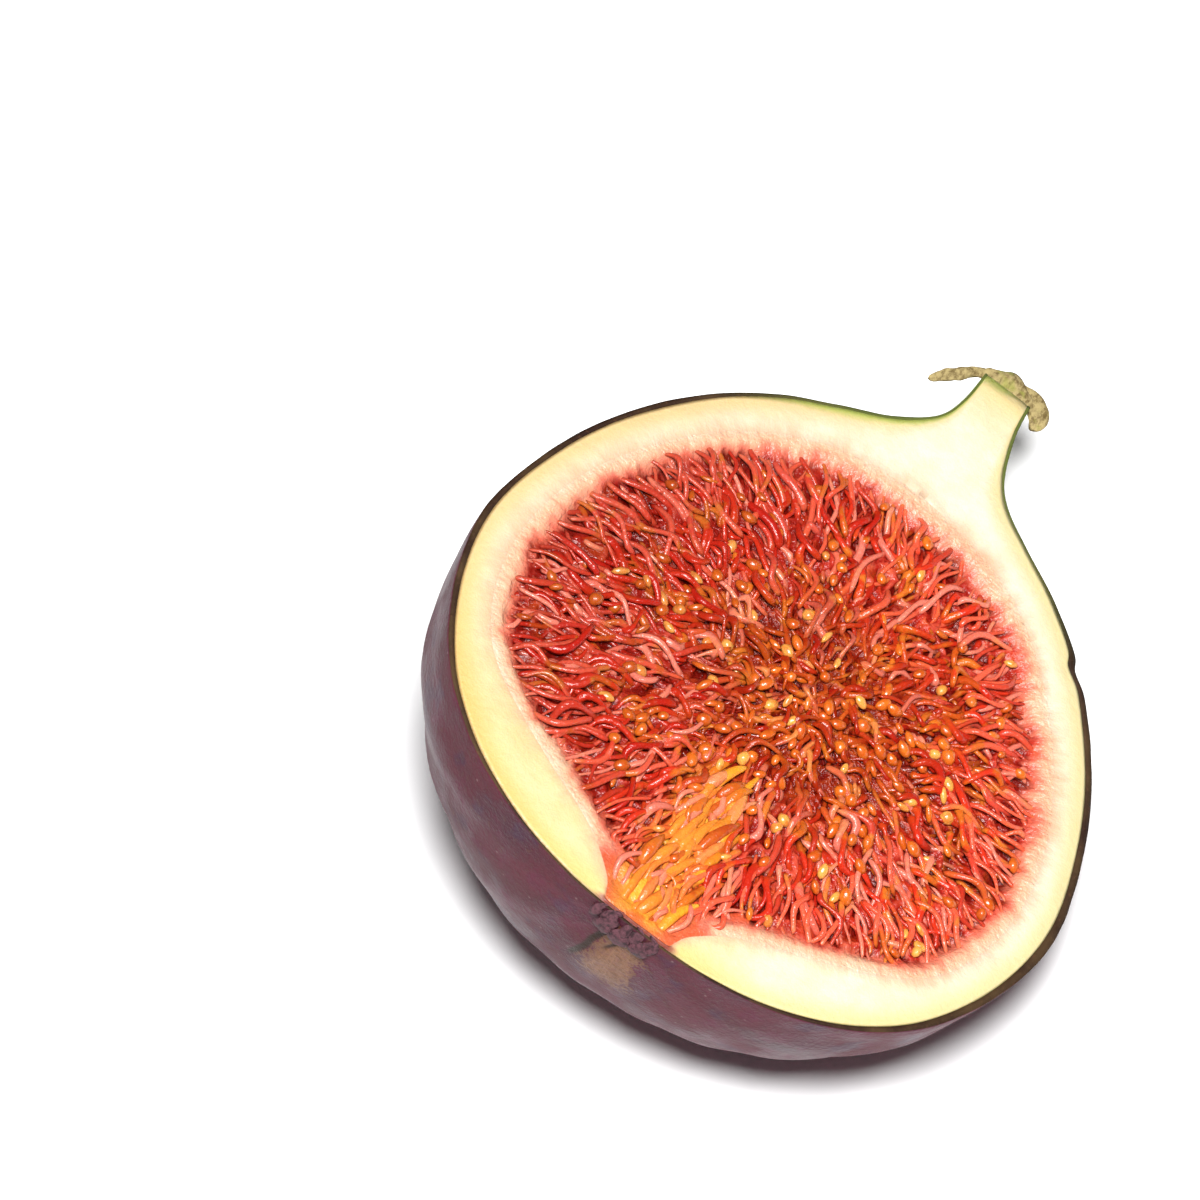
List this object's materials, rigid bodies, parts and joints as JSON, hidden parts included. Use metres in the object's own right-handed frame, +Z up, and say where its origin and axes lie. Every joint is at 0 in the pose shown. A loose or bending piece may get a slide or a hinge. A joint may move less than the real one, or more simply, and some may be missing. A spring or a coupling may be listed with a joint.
{
  "type": "fresh fig half",
  "caption": "Half of a ripe fresh fig, cut lengthwise and lying cut face up on its rounded back, with its red florets, pale wall, dark skin and dry stalk end.",
  "frame": {"origin": "middle of the footprint's bounding box, on the surface that the half fig lies on", "axes": "+Z up; the stalk points towards +Y and dips 11.6 degrees; the cut face looks up and leans 20.6 degrees towards +X"},
  "size_m": [0.051, 0.061, 0.0341],
  "materials": {
    "skin": "thin purple-brown fruit skin with a pale bloom, satin",
    "wall": "moist pale cream flesh, satin",
    "florets": "wet pink and red flesh with golden seeds, glossy",
    "eye_scales": "dry brown scales, matt",
    "stalk_end": "dry olive-brown fibre, matt"
  },
  "bodies": {
    "root": {"skin": "skin", "wall": "wall", "florets": "florets", "eye_scales": "eye_scales", "stalk_end": "stalk_end"}
  },
  "joints": []
}
